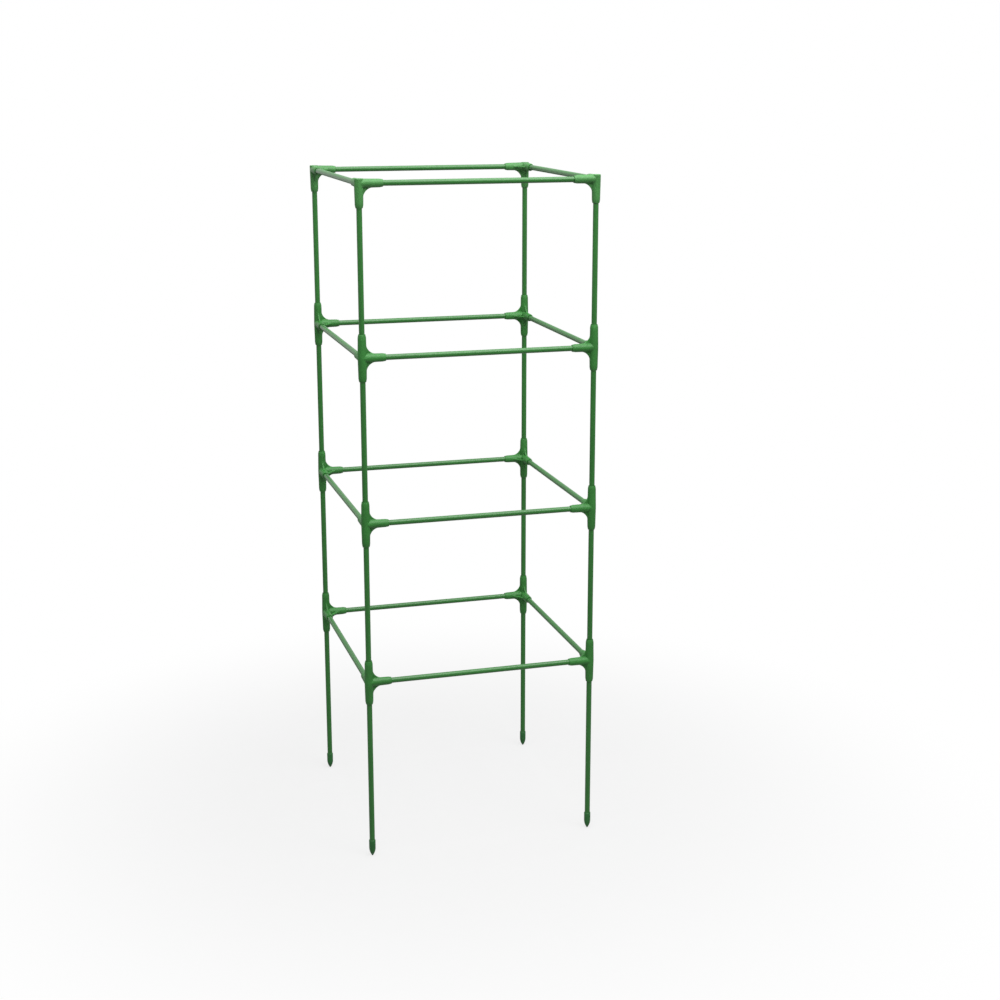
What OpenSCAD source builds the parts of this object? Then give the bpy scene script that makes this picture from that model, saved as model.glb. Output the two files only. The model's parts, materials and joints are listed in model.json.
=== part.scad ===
// Tomato cage: four square rings of coated tube, one above the other, on four spiked legs.
// Each tube end is pushed into a moulded corner connector, so the cage stacks in tiers
// and every tier lifts off the ring below it. The spike points stand on z = 0.

/* [Cage] */
// Side of a ring, between the centres of neighbouring connectors
ring_side = 470; // [300:5:700]
// Rise from one ring to the next, between the centres of their connectors
tier_rise = 330; // [200:5:500]
// Height of the lowest ring's centre above the spike points
leg_rise = 380; // [250:5:600]

/* [Coated tubes] */
// Outside diameter of a coated tube
tube_d = 11; // [9:0.5:14]
// Thickness of the plastic skin
skin_t = 0.5; // [0.3:0.05:0.9]
// Wall of the steel tube under the skin
core_wall = 0.4; // [0.3:0.05:0.9]

/* [Corner connectors] */
// Wall of the upright sockets where they start to narrow to their mouths
upright_wall = 2.6; // [1.9:0.1:3.5]
// Wall of the ring sockets where they start to narrow to their mouths
ring_wall = 2.5; // [1.8:0.1:3.4]
// How much wider the radius of a socket is at the connector's centre
socket_draft = 0.8; // [0:0.1:1.2]
// Distance from a connector's centre to the mouth of each socket
socket_reach = 46; // [38:1:70]
// Plastic left between the bores of two neighbouring sockets
seat_wall = 4.45; // [3:0.05:6]
// Length over which a socket narrows to its mouth
mouth_taper = 6; // [2:0.5:9]
// Wall left at the rim of a mouth
mouth_wall = 1.4; // [0.9:0.1:1.7]
// Chamfer that leads the tube into a socket
lead_in = 0.8; // [0.2:0.1:0.8]
// Radius of the hollow edge of a gusset
gusset_r = 20.5; // [10:0.5:24]
// Thickness of a gusset
gusset_t = 3; // [1.5:0.25:5]
// Height of a top connector's flat crown above its ring sockets
crown_rise = 0.2; // [0.1:0.1:3]
// Chamfer round the crown
crown_edge = 0.8; // [0.3:0.1:2]

/* [Spike caps] */
// Wall of the collar that grips the leg
spike_wall = 1.2; // [0.9:0.05:2]
// Length of the collar
collar_len = 17; // [14:0.5:30]
// Length of the point below the collar
point_len = 18; // [10:0.5:40]
// Depth to which the leg enters the collar
spike_grip = 15; // [8:0.5:16]
// Radius of the blunt end of the point
blunt_r = 0.8; // [0.4:0.1:2]
// Chamfer round the collar's rim
collar_edge = 0.8; // [0.2:0.05:0.85]

/* [Hidden] */
// Radial clearance between a tube and its socket
fit_gap = 0.05;
// Radial gap between a steel tube and the skin moulded on it
bond_gap = 0.02;
// How far a gusset's hollow edge dips below the narrow end of the ring sockets' draft
gusset_dip = 0.2;
// How far a cut runs past the face that it opens
overrun = 1;

// Radius of a socket's bore, of the sockets at both ends of their draft, and of their rims
bore_r = tube_d / 2 + fit_gap;
upright_r = bore_r + upright_wall;
ring_r = bore_r + ring_wall;
upright_hub_r = upright_r + socket_draft;
ring_hub_r = ring_r + socket_draft;
rim_r = bore_r + mouth_wall;
// Radius of a spike cap's collar
spike_r = bore_r + spike_wall;

// Distance from a connector's centre to the floor of each bore, where the tube stops
seat_offset = bore_r + seat_wall;
// Distance from a connector's centre to the centre of a gusset's hollow edge
gusset_reach = ring_r - gusset_dip + gusset_r;
// Height of a top connector's crown above its centre
crown_top = ring_hub_r + crown_rise;

// Height of a spike cap, and of the floor of its bore above the point
spike_len = point_len + collar_len;
spike_floor = spike_len - spike_grip;
// Radius of the arc that curves a point from its collar down to its blunt end
point_taper = spike_r - blunt_r;
point_arc_r = (point_taper * point_taper + point_len * point_len) / (2 * point_taper);

// Cut lengths of the tubes
bar_len = ring_side - 2 * seat_offset;
post_len = tier_rise - 2 * seat_offset;
leg_len = leg_rise - seat_offset - spike_floor;

// Colours of the tube's skin, the mouldings and the steel
skin_green = [0.21, 0.42, 0.22];
connector_green = [0.27, 0.50, 0.27];
spike_green = [0.20, 0.38, 0.23];
bare_steel = [0.62, 0.63, 0.64];

// Names of the rings from the ground up, and of the corners and sides, a quarter turn apart
ring_names = ["lower", "second", "third", "top"];
corner_names = ["front_left", "front_right", "back_right", "back_left"];
side_names = ["front", "right", "back", "left"];
rings = [0 : len(ring_names) - 1];
upper_rings = [1 : len(ring_names) - 1];
top_ring = len(ring_names) - 1;
turns = [0 : len(corner_names) - 1];
quarter = 90;

$fn = 64;

function ring_z(ring) = leg_rise + ring * tier_rise;
function bar_name(ring, turn) = str(ring_names[ring], "_", side_names[turn], "_bar");
function connector_name(ring, turn) = str(ring_names[ring], "_", corner_names[turn], "_connector");
function post_name(ring, turn) = str(ring_names[ring], "_", corner_names[turn], "_post");
function leg_name(turn) = str(corner_names[turn], "_leg");
function spike_name(turn) = str(corner_names[turn], "_spike");
function cores_name(ring) = str(ring_names[ring], "_steel_cores");

// A round tube that stands on z = 0
module pipe(outer_r, wall, length) {
    difference() {
        cylinder(h = length, r = outer_r);
        translate([0, 0, -overrun])
            cylinder(h = length + 2 * overrun, r = outer_r - wall);
    }
}

// The plastic skin of a tube, and the steel tube inside it
module skin(length) {
    color(skin_green) pipe(tube_d / 2, skin_t, length);
}

module core(length) {
    color(bare_steel) pipe(tube_d / 2 - skin_t - bond_gap, core_wall, length);
}

// Places of the tubes: each carries its children from z = 0 to where a tube starts
module at_bar(ring, turn) {
    rotate(quarter * turn)
        translate([-bar_len / 2, -ring_side / 2, ring_z(ring)])
            rotate([0, quarter, 0])
                children();
}

module at_corner(turn, height) {
    rotate(quarter * turn)
        translate([-ring_side / 2, -ring_side / 2, height])
            children();
}

module bar(ring, turn) {
    at_bar(ring, turn) skin(bar_len);
}

module post(ring, turn) {
    at_corner(turn, ring_z(ring - 1) + seat_offset) skin(post_len);
}

module leg(turn) {
    at_corner(turn, spike_floor) skin(leg_len);
}

// The steel tubes of one tier: its four bars, and the posts or legs that hang below them
module steel_cores(ring) {
    for (turn = turns) {
        at_bar(ring, turn) core(bar_len);
        if (ring == 0)
            at_corner(turn, spike_floor) core(leg_len);
        else
            at_corner(turn, ring_z(ring - 1) + seat_offset) core(post_len);
    }
}

// The outside of a socket that runs up from a connector's centre, and its bore
module socket(hub_r, outer_r) {
    cylinder(h = socket_reach - mouth_taper, r1 = hub_r, r2 = outer_r);
    translate([0, 0, socket_reach - mouth_taper])
        cylinder(h = mouth_taper, r1 = outer_r, r2 = rim_r);
}

module socket_bore() {
    translate([0, 0, seat_offset])
        cylinder(h = socket_reach - seat_offset + overrun, r = bore_r);
    translate([0, 0, socket_reach - lead_in])
        cylinder(h = lead_in + overrun, r1 = bore_r, r2 = bore_r + lead_in + overrun);
}

// A flat web in the corner between a socket along +X and one along +Z, with a hollow edge
module gusset() {
    difference() {
        translate([0, -gusset_t / 2, 0])
            cube([gusset_reach, gusset_t, gusset_reach]);
        translate([gusset_reach, 0, gusset_reach])
            rotate([quarter, 0, 0])
                cylinder(h = gusset_t + 2 * overrun, r = gusset_r, center = true);
    }
}

// Turns that take a socket from +Z to the two ring directions and to straight down
module along_x() { rotate([0, quarter, 0]) children(); }
module along_y() { rotate([-quarter, 0, 0]) children(); }
module downwards() { mirror([0, 0, 1]) children(); }

// The two gussets that brace the ring sockets against a socket along +Z
module upright_gussets() {
    gusset();
    rotate(quarter) gusset();
}

// The ring sockets, the socket below them and their gussets, which every connector has
module connector_shell() {
    along_x() socket(ring_hub_r, ring_r);
    along_y() socket(ring_hub_r, ring_r);
    downwards() socket(upright_hub_r, upright_r);
    downwards() upright_gussets();
    along_y() gusset();
}

module connector_bores() {
    along_x() socket_bore();
    along_y() socket_bore();
    downwards() socket_bore();
}

// A connector of the three lower rings, with a socket above for the next tier's post
module four_way_connector() {
    color(connector_green)
    difference() {
        union() {
            connector_shell();
            socket(upright_hub_r, upright_r);
            upright_gussets();
        }
        connector_bores();
        socket_bore();
    }
}

// A connector of the top ring, closed by a flat crown
module three_way_connector() {
    color(connector_green)
    difference() {
        union() {
            connector_shell();
            cylinder(h = crown_top - crown_edge, r = upright_hub_r);
            translate([0, 0, crown_top - crown_edge])
                cylinder(h = crown_edge, r1 = upright_hub_r, r2 = upright_hub_r - crown_edge);
        }
        connector_bores();
    }
}

module connector(ring, turn) {
    at_corner(turn, ring_z(ring))
        if (ring == top_ring) three_way_connector();
        else four_way_connector();
}

// A cap with a bullet-shaped point, pushed over the end of a leg
module spike_cap() {
    color(spike_green)
    difference() {
        union() {
            rotate_extrude()
                intersection() {
                    translate([spike_r - point_arc_r, point_len]) circle(r = point_arc_r);
                    square([spike_r + overrun, point_len]);
                }
            translate([0, 0, point_len])
                cylinder(h = collar_len - collar_edge, r = spike_r);
            translate([0, 0, spike_len - collar_edge])
                cylinder(h = collar_edge, r1 = spike_r, r2 = spike_r - collar_edge);
        }
        translate([0, 0, spike_floor])
            cylinder(h = spike_grip + overrun, r = bore_r);
    }
}

module spike(turn) {
    at_corner(turn, 0) spike_cap();
}

for (ring = rings, turn = turns)
    bar(ring, turn);
for (ring = rings, turn = turns)
    connector(ring, turn);
for (ring = upper_rings, turn = turns)
    post(ring, turn);
for (turn = turns)
    leg(turn);
for (turn = turns)
    spike(turn);
for (ring = rings)
    steel_cores(ring);
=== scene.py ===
import json
import math

import bmesh
import bpy
from mathutils import Matrix, Vector

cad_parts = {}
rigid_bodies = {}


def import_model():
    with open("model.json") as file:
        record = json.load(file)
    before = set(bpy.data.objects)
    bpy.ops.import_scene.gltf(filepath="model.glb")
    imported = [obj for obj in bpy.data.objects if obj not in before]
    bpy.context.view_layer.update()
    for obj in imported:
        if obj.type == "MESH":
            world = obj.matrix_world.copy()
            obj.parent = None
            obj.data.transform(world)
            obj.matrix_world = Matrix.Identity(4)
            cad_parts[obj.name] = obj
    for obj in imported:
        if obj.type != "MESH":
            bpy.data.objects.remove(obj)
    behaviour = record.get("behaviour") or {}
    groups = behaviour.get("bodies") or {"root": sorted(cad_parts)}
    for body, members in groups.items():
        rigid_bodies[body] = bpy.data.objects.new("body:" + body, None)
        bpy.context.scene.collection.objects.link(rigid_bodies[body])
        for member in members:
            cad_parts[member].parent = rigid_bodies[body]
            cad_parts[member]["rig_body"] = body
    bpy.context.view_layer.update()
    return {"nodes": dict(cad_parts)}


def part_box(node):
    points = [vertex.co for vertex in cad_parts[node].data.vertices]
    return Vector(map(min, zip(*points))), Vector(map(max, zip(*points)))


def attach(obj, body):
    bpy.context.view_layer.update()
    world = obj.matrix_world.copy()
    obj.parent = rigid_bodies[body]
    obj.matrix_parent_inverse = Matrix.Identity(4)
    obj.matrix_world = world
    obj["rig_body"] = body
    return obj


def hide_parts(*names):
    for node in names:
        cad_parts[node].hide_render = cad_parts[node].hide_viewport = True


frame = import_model()

# Spike caps. A moulded plastic point closes the foot of each leg, so that the leg goes into soil
# and the steel inside stays dry. Its collar is pushed over the cut end and holds by friction.
corners = ["front_left", "front_right", "back_right", "back_left"]

leg_low, leg_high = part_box("front_left_leg")
spike_low, spike_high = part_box("front_left_spike")
tube_r = (leg_high.x - leg_low.x) / 2
fit_gap = 0.00005
bore_r = tube_r + fit_gap
spike_r = (spike_high.x - spike_low.x) / 2
spike_top = spike_high.z
spike_floor = leg_low.z
collar_edge = 0.0008
edge_round = 0.00015
point_len = 0.018
blunt_r = 0.0008
point_taper = spike_r - blunt_r
point_arc_r = (point_taper ** 2 + point_len ** 2) / (2 * point_taper)
point_turn = math.asin(point_len / point_arc_r)
point_steps = 14


def turn_outline(bm, outline, closed=False, steps=48, place=Matrix()):
    """Turns an outline of (radius, height) points about Z, as on a lathe, and puts it in place."""
    before = set(bm.verts)
    points = [bm.verts.new((radius, 0, height)) for radius, height in outline]
    ends = points[1:] + points[:1] if closed else points[1:]
    edges = [bm.edges.new(pair) for pair in zip(points, ends)]
    bmesh.ops.spin(bm, geom=points + edges, axis=(0, 0, 1), angle=math.tau, steps=steps,
                   use_merge=True)
    turned = [vert for vert in bm.verts if vert not in before]
    bmesh.ops.remove_doubles(bm, verts=turned, dist=1e-6)
    turned = [vert for vert in bm.verts if vert not in before]
    bmesh.ops.transform(bm, matrix=place, verts=turned)
    bmesh.ops.recalc_face_normals(bm, faces=bm.faces)


def round_edges(bm, width, sharper_than=25):
    """Rounds every edge that is sharper than that many degrees."""
    sharp = [edge for edge in bm.edges
             if edge.is_manifold and edge.calc_face_angle() > math.radians(sharper_than)]
    bmesh.ops.bevel(bm, geom=sharp, offset=width, segments=3, profile=0.5, affect="EDGES",
                    material=-1, clamp_overlap=True)


def add_piece(bm, node, suffix, place, finish):
    """Puts a finished mesh in place, where it stands for a CAD node and moves with its body.

    The attribute "own" keeps each point as it was measured from the piece's foot or centre.
    """
    own = bm.verts.layers.float_vector.new("own")
    for vert in bm.verts:
        vert[own] = vert.co
    bmesh.ops.transform(bm, matrix=place, verts=bm.verts)
    mesh = bpy.data.meshes.new(f"{node}_{suffix}")
    bm.to_mesh(mesh)
    bm.free()
    mesh.shade_smooth()
    mesh.set_sharp_from_angle(angle=math.radians(40))
    mesh.materials.append(finish)
    piece = bpy.data.objects.new(f"{node}_{suffix}", mesh)
    bpy.context.scene.collection.objects.link(piece)
    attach(piece, frame["nodes"][node]["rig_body"])
    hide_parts(node)


class Shade:
    """A socket of a shader node. Arithmetic on it adds Math nodes to its tree."""

    def __init__(self, socket):
        self.socket = socket

    def node(self, kind, settings, sockets, output=0):
        """Adds a node of any kind to the tree, and gives back one of its outputs.

        The settings are set first, and then the values or links of the sockets.
        """
        tree = self.socket.id_data
        made = tree.nodes.new("ShaderNode" + kind)
        for name, value in settings.items():
            setattr(made, name, value)
        for name, value in sockets.items():
            if isinstance(value, Shade):
                tree.links.new(value.socket, made.inputs[name])
            else:
                made.inputs[name].default_value = value
        return Shade(made.outputs[output])

    def maths(self, operation, *values):
        return self.node("Math", {"operation": operation}, dict(enumerate(values)))

    def __add__(self, other):
        return self.maths("ADD", self, other)

    def __sub__(self, other):
        return self.maths("SUBTRACT", self, other)

    def __rsub__(self, other):
        return self.maths("SUBTRACT", other, self)

    def __mul__(self, other):
        return self.maths("MULTIPLY", self, other)

    def __abs__(self):
        return self.maths("ABSOLUTE", self)

    __radd__ = __add__
    __rmul__ = __mul__

    def stretched(self, scale):
        """The same point, measured in another scale along each axis."""
        return self.node("VectorMath", {"operation": "MULTIPLY"}, {0: self, 1: scale})

    def noise(self, scale, detail=2.0):
        """A value that wavers round 0.5 from point to point."""
        return self.node("TexNoise", {}, {"Vector": self, "Scale": scale, "Detail": detail})

    def step(self, low, high):
        """A mask that goes smoothly from 0 at low to 1 at high."""
        return self.node("MapRange", {"interpolation_type": "SMOOTHSTEP"},
                         {"Value": self, "From Min": low, "From Max": high})

    def between(self, first, second):
        """A colour that goes from first to second as this mask goes from 0 to 1."""
        return self.node("Mix", {"data_type": "RGBA"}, {0: self, 6: first, 7: second}, output=2)

    def bump(self, strength, distance):
        """The direction of a surface that this height makes uneven."""
        return self.node("Bump", {}, {"Strength": strength, "Distance": distance, "Height": self})

    def feed(self, shader, name):
        """Links this value to a shader's socket."""
        self.socket.id_data.links.new(self.socket, shader.inputs[name])


def new_finish(name, gloss):
    """A new material and its shader, with a point as the piece measures it, and in the cage."""
    finish = bpy.data.materials.new(name)
    finish.use_nodes = True
    shader = finish.node_tree.nodes["Principled BSDF"]
    shader.inputs["Specular IOR Level"].default_value = gloss
    surface = Shade(shader.outputs["BSDF"])
    own = surface.node("Attribute", {"attribute_name": "own"}, {}, output="Vector")
    point = surface.node("TexCoord", {}, {}, output="Object")
    return finish, shader, own, point


def shaded(colour, share):
    """A colour made darker or lighter, as a shader's socket takes it."""
    return (*(channel * share for channel in colour), 1)


def moulded_plastic(name, colour, roughness):
    """Dyed plastic from a two-part mould: fine grain, clouds in the dye, and a raised seam."""
    finish, shader, own, point = new_finish(name, gloss=0.27)
    clouds = point.noise(38.0, detail=3.0).step(0.3, 0.7)
    across = own.node("SeparateXYZ", {}, {0: own}, output="Y")
    seam = 1 - abs(across).step(0.00006, 0.00022)
    tint = clouds.between(shaded(colour, 0.9), shaded(colour, 1.1))
    (seam * 0.35).between(tint, shaded(colour, 1.7)).feed(shader, "Base Color")
    grain = own.noise(1900.0)
    flow = point.noise(150.0)
    (roughness + (clouds - 0.5) * 0.08 + (grain - 0.5) * 0.12).feed(shader, "Roughness")
    height = grain + flow * 1.5 + seam * 0.8
    height.bump(strength=0.6, distance=0.00012).feed(shader, "Normal")
    return finish


spike_plastic = moulded_plastic("spike_plastic", colour=(0.013, 0.09, 0.019), roughness=0.42)
point_arc = [(spike_r - point_arc_r * (1 - math.cos(angle)),
              point_len - point_arc_r * math.sin(angle))
             for angle in [point_turn * step / point_steps for step in range(point_steps + 1)]]
for corner in corners:
    low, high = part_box(f"{corner}_spike")
    bm = bmesh.new()
    turn_outline(bm, [(0, 0), *reversed(point_arc), (spike_r, spike_top - collar_edge),
                      (spike_r - collar_edge, spike_top), (bore_r, spike_top),
                      (bore_r, spike_floor), (0, spike_floor)])
    round_edges(bm, edge_round)
    foot = Matrix.Translation(((low.x + high.x) / 2, (low.y + high.y) / 2, low.z))
    add_piece(bm, f"{corner}_spike", "cap", foot, spike_plastic)

# Coated tubes: the legs, the posts and the ring bars. A thin green skin is extruded over a steel
# tube, which is then cut to length. Each end is pushed into a connector's socket and stays there.
rings = ["lower", "second", "third", "top"]
sides = ["front", "right", "back", "left"]

skin_t = 0.0005
socket_depth = 0.036

tube_skin, shader, own, point = new_finish("tube_skin", gloss=0.4)
skin_green = (0.012, 0.102, 0.012)
gripped = own.node("Attribute", {"attribute_name": "gripped"}, {}, output="Fac")
die_lines = own.stretched((1300, 1300, 6)).noise(1.0)
streaks = own.stretched((330, 330, 5)).noise(1.0).step(0.3, 0.7)
clouds = point.noise(11.0).step(0.3, 0.7)
peel = point.noise(520.0)
rubbed = gripped.step(0.0, 0.3) * own.stretched((1500, 1500, 45)).noise(1.0).step(0.5, 0.62)
tint = (streaks * 0.5 + clouds * 0.5).between(shaded(skin_green, 0.88), shaded(skin_green, 1.12))
(rubbed * 0.4).between(tint, shaded(skin_green, 2.2)).feed(shader, "Base Color")
(0.3 + streaks * 0.06 + die_lines * 0.08 + rubbed * 0.2).feed(shader, "Roughness")
(peel + die_lines * 0.8).bump(strength=0.6, distance=0.00008).feed(shader, "Normal")

quarter_turn = math.pi / 2
to_x = Matrix.Rotation(quarter_turn, 4, "Y")
to_y = Matrix.Rotation(-quarter_turn, 4, "X")
upright = Matrix()
along = [to_x, to_y, upright]


def add_tube(node, foot_depth=socket_depth):
    """A tube as it stands in the cage, rubbed where its foot and its head are gripped."""
    low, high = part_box(node)
    size = high - low
    axis = max(range(3), key=lambda direction: size[direction])
    length = size[axis]
    bm = bmesh.new()
    turn_outline(bm, [(tube_r - skin_t, 0), (tube_r, 0), (tube_r, foot_depth),
                      (tube_r, length - socket_depth), (tube_r, length), (tube_r - skin_t, length)],
                 closed=True)
    round_edges(bm, edge_round)
    gripped = bm.verts.layers.float.new("gripped")
    for vert in bm.verts:
        vert[gripped] = vert.co.z < foot_depth / 2 or vert.co.z > length - socket_depth / 2
    start = (low + high) / 2
    start[axis] = low[axis]
    add_piece(bm, node, "skin", Matrix.Translation(start) @ along[axis], tube_skin)


for corner in corners:
    add_tube(f"{corner}_leg", foot_depth=spike_top - spike_floor)
    for ring in rings[1:]:
        add_tube(f"{ring}_{corner}_post")
for ring in rings:
    for side in sides:
        add_tube(f"{ring}_{side}_bar")

# Steel cores. Each skin has a thin steel tube inside it, rolled from strip and welded along its
# seam, which makes the stake stiff. Only its cut end shows, when a tier is lifted out.
core_steel, shader, _, point = new_finish("core_steel", gloss=0.5)
rolled = point.noise(160.0, detail=4.0).step(0.35, 0.65)
rolled.between((0.34, 0.35, 0.36, 1), (0.5, 0.51, 0.52, 1)).feed(shader, "Base Color")
(0.34 + rolled * 0.14).feed(shader, "Roughness")
shader.inputs["Metallic"].default_value = 1
scratches = point.noise(2600.0)
scratches.bump(strength=0.25, distance=0.00003).feed(shader, "Normal")
for ring in rings:
    cores = frame["nodes"][f"{ring}_steel_cores"]
    cores.data.materials.clear()
    cores.data.materials.append(core_steel)

# Four-way connectors, at the corners of the three lower rings. Each is one plastic moulding of two
# ring sockets and two upright sockets, with hollow-edged webs between them. A socket gets slimmer
# towards its mouth, and the tube in it stops on the floor of its bore.
connector_low, connector_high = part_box("lower_front_left_connector")
socket_reach = (connector_high.z - connector_low.z) / 2
seat_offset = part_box("second_front_left_post")[0].z - (connector_low.z + connector_high.z) / 2
socket_draft = 0.0008
upright_hub_r = (leg_low.x + leg_high.x) / 2 - connector_low.x
ring_wall = 0.0025
ring_hub_r = bore_r + ring_wall + socket_draft
socket_steps = 64
mouth_taper = 0.006
mouth_start = socket_reach - mouth_taper
mouth_wall = 0.0014
rim_r = bore_r + mouth_wall
rim_round = 0.0002
lead_in = 0.0008
web_t = 0.003
web_arc_r = 0.0205
web_dip = 0.0002
web_reach = ring_hub_r - socket_draft - web_dip + web_arc_r
middle_reach = 0.032
bridge_len = 0.0004

downwards = Matrix.Rotation(2 * quarter_turn, 4, "X")
to_back = Matrix.Rotation(quarter_turn, 4, "Z")


def socket_r(hub_r, reach):
    """Radius of a socket's outside, at a distance from the connector's centre."""
    return hub_r - socket_draft * reach / mouth_start


def add_root(bm, hub_r, way):
    """The inner part of a socket, from the centre to where it starts to narrow to its mouth."""
    turn_outline(bm, [(0, 0), (hub_r, 0), (socket_r(hub_r, mouth_start), mouth_start),
                      (0, mouth_start)], steps=socket_steps, place=way)


def add_web(bm, place):
    """A flat web in the corner between +X and +Z, with a hollow edge, put in place."""
    before = set(bm.verts)
    start = bm.verts.new((web_reach, -web_t / 2, web_reach - web_arc_r))
    bmesh.ops.spin(bm, geom=[start], cent=(web_reach, -web_t / 2, web_reach), axis=(0, 1, 0),
                   angle=quarter_turn, steps=24)
    arc = [vert for vert in bm.verts if vert not in before]
    heart = bm.verts.new((0, -web_t / 2, 0))
    side = bm.faces.new([heart, *arc])
    pulled = bmesh.ops.extrude_face_region(bm, geom=[side])["geom"]
    bmesh.ops.translate(bm, vec=(0, web_t, 0),
                        verts=[part for part in pulled if isinstance(part, bmesh.types.BMVert)])
    web = [vert for vert in bm.verts if vert not in before]
    bmesh.ops.transform(bm, matrix=place, verts=web)
    bmesh.ops.recalc_face_normals(bm, faces=bm.faces)


def add_lower_half(bm):
    """What every connector has: two ring sockets, one socket below them, and the webs between."""
    add_root(bm, ring_hub_r, to_x)
    add_root(bm, ring_hub_r, to_y)
    add_root(bm, upright_hub_r, downwards)
    add_web(bm, downwards)
    add_web(bm, downwards @ to_back.inverted())
    add_web(bm, to_y)


def mould(solids):
    """Melts overlapping solids into one skin, with soft inner corners."""
    mesh = bpy.data.meshes.new("blank")
    solids.to_mesh(mesh)
    blank = bpy.data.objects.new("blank", mesh)
    bpy.context.scene.collection.objects.link(blank)
    skin = blank.modifiers.new("skin", "REMESH")
    skin.mode = "VOXEL"
    skin.voxel_size = 0.0006
    fillets = blank.modifiers.new("fillets", "SMOOTH")
    fillets.factor = 0.5
    fillets.iterations = 8
    moulded = blank.evaluated_get(bpy.context.evaluated_depsgraph_get())
    solids.clear()
    solids.from_mesh(moulded.data)
    bpy.data.objects.remove(blank)


def add_mouth(bm, hub_r, way):
    """Cuts the moulding across a socket, and puts on the outer half, with its mouth and bore."""
    axis = way.to_3x3() @ Vector((0, 0, 1))
    bmesh.ops.bisect_plane(bm, geom=[*bm.verts, *bm.edges, *bm.faces], dist=1e-6,
                           plane_co=axis * middle_reach, plane_no=axis, clear_outer=True)
    start = middle_reach + bridge_len
    half = bmesh.new()
    turn_outline(half, [(socket_r(hub_r, start), start),
                        (socket_r(hub_r, mouth_start), mouth_start), (rim_r, socket_reach),
                        (bore_r + lead_in, socket_reach), (bore_r, socket_reach - lead_in),
                        (bore_r, seat_offset), (0, seat_offset)], steps=socket_steps, place=way)
    round_edges(half, rim_round)
    mesh = bpy.data.meshes.new("half")
    half.to_mesh(mesh)
    half.free()
    bm.from_mesh(mesh)
    bpy.data.meshes.remove(mesh)
    bmesh.ops.bridge_loops(bm, edges=[edge for edge in bm.edges if edge.is_boundary])
    bmesh.ops.recalc_face_normals(bm, faces=bm.faces)


def add_connectors(moulding, ring, finish):
    """Puts a copy of a moulding at each corner of a ring, a quarter turn apart."""
    bar_low, bar_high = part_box(f"{ring}_front_bar")
    for turn, corner in enumerate(corners):
        corner_low, corner_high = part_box(f"{corner}_leg")
        centre = (corner_low + corner_high) / 2
        centre.z = (bar_low.z + bar_high.z) / 2
        place = Matrix.Translation(centre) @ Matrix.Rotation(turn * quarter_turn, 4, "Z")
        add_piece(moulding.copy(), f"{ring}_{corner}_connector", "moulding", place, finish)


connector_plastic = moulded_plastic("connector_plastic", colour=(0.02, 0.122, 0.02), roughness=0.48)

four_way = bmesh.new()
add_lower_half(four_way)
add_root(four_way, upright_hub_r, upright)
add_web(four_way, upright)
add_web(four_way, to_back)
mould(four_way)
for hub_r, way in [(ring_hub_r, to_x), (ring_hub_r, to_y), (upright_hub_r, upright),
                   (upright_hub_r, downwards)]:
    add_mouth(four_way, hub_r, way)
for ring in rings[:-1]:
    add_connectors(four_way, ring, connector_plastic)

# Three-way connectors, at the corners of the top ring. The same moulding without the upper socket:
# a flat crown closes it just above the ring sockets. Its green is the lower connectors' plastic
# made lighter, as painted light for the brighter light on the top ring. It is pushed onto the top
# bars and posts.
top_bar_low, top_bar_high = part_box("top_front_bar")
crown_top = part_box("top_front_left_connector")[1].z - (top_bar_low.z + top_bar_high.z) / 2
crown_edge = 0.0008

# Painted light: the lower connectors' green made lighter, standing in for the stronger light on the
# top ring.
top_connector_painted_light = moulded_plastic("top_connector_painted_light", colour=(0.035, 0.145, 0.034),
                                        roughness=0.48)

three_way = bmesh.new()
add_lower_half(three_way)
turn_outline(three_way, [(0, 0), (upright_hub_r, 0), (upright_hub_r, crown_top - crown_edge),
                         (upright_hub_r - crown_edge, crown_top), (0, crown_top)],
             steps=socket_steps)
mould(three_way)
for hub_r, way in [(ring_hub_r, to_x), (ring_hub_r, to_y), (upright_hub_r, downwards)]:
    add_mouth(three_way, hub_r, way)
add_connectors(three_way, "top", top_connector_painted_light)

# The floor is a pale sheet that turns white away from the cage, so that it runs into the white
# surroundings without an edge. Round the legs it keeps their shadows, and in a reflection only
# its far part is white.
near_white = 0.75

floor_mesh = bpy.data.meshes.new("floor")
bm = bmesh.new()
bmesh.ops.create_circle(bm, cap_ends=True, radius=60, segments=96)
bm.to_mesh(floor_mesh)
bm.free()
floor = bpy.data.objects.new("floor", floor_mesh)
bpy.context.scene.collection.objects.link(floor)

floor_finish = bpy.data.materials.new("floor_sheet")
floor_finish.use_nodes = True
floor_mesh.materials.append(floor_finish)
floor_nodes = floor_finish.node_tree.nodes
floor_nodes.remove(floor_nodes["Principled BSDF"])
floor_output = floor_nodes["Material Output"]


def rays(target, name, kind):
    """1 for the rays of a kind that meet what this socket shows, and 0 for all others."""
    return Shade(target.inputs[name]).node("LightPath", {}, {}, output=f"Is {kind} Ray")


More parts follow.
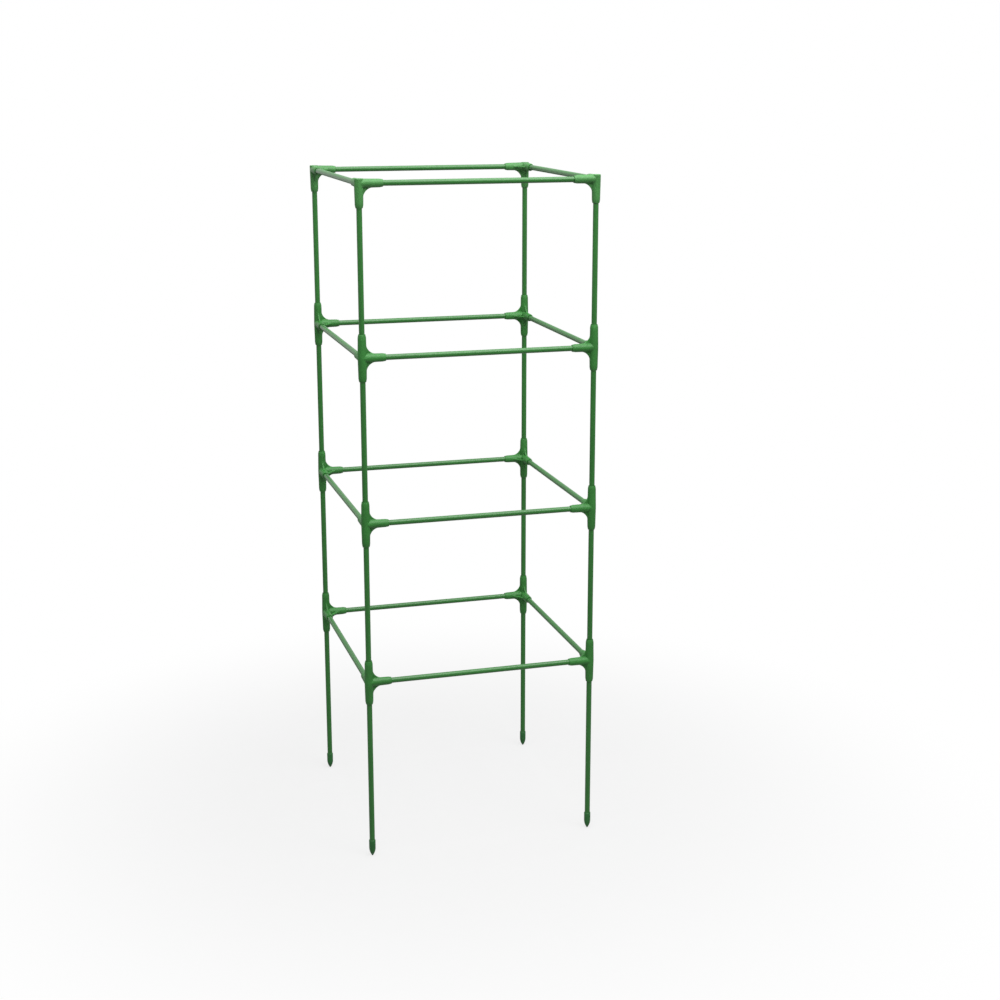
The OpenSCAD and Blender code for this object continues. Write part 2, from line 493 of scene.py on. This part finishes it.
seen = rays(floor_output, "Surface", "Camera") + rays(floor_output, "Surface", "Transmission")
mirrored = rays(floor_output, "Surface", "Glossy")
point = mirrored.node("TexCoord", {}, {}, output="Object")
distance = point.node("VectorMath", {"operation": "LENGTH"}, {0: point}, output="Value")
whiteness = (seen * (near_white + distance.step(0.4, 1.3) * (1 - near_white))
             + mirrored * distance.step(3.0, 9.0))
grain = point.noise(30.0, detail=3.0)
pale = grain.between((0.35, 0.35, 0.35, 1), (0.37, 0.37, 0.37, 1))
sheet = pale.node("BsdfDiffuse", {}, {"Color": pale})
white = sheet.node("Emission", {}, {"Strength": 1.0})
sheet.node("MixShader", {}, {0: whiteness, 1: sheet, 2: white}).feed(floor_output, "Surface")

# The surroundings are white where the camera, a reflection or a clear part looks at them, and
# give a weaker, even light from all round.
fill_light = 0.38

surroundings = bpy.data.worlds.new("surroundings")
bpy.context.scene.world = surroundings
surroundings.use_nodes = True
background = surroundings.node_tree.nodes["Background"]
background.inputs["Color"].default_value = (1, 1, 1, 1)
seen = (rays(background, "Strength", "Camera") + rays(background, "Strength", "Glossy")
        + rays(background, "Strength", "Transmission"))
seen = seen.maths("MINIMUM", seen, 1.0)
(fill_light + seen * (1 - fill_light)).feed(background, "Strength")

# Two soft lamps, aimed at the middle of the cage: a wide one overhead, and a smaller one in front
# on the right.
cage_middle = Vector((0, 0, 0.8))
for name, at, size, power in [("overhead", Vector((0.2, -0.9, 3.4)), 3.6, 240),
                              ("front_right", Vector((1.4, -2.0, 3.0)), 1.0, 15)]:
    lamp = bpy.data.lights.new(name, "AREA")
    lamp.size = size
    lamp.energy = power
    lamp_stand = bpy.data.objects.new(name, lamp)
    lamp_stand.location = at
    lamp_stand.rotation_euler = (cage_middle - at).to_track_quat("-Z", "Y").to_euler()
    bpy.context.scene.collection.objects.link(lamp_stand)

# The camera stands in front of the cage, a little to its left, and looks slightly down on it, as
# in the photograph.
look_down = math.radians(14.44)
look_right = math.radians(16.34)
camera = bpy.data.cameras.new("camera")
camera.sensor_width = 36
camera.lens = 59.74
tripod = bpy.data.objects.new("camera", camera)
tripod.location = (-0.867, -3.329, 1.570)
tripod.rotation_euler = (quarter_turn - look_down, 0, -look_right)
bpy.context.scene.collection.objects.link(tripod)
bpy.context.scene.camera = tripod
bpy.context.scene.view_settings.view_transform = "Standard"
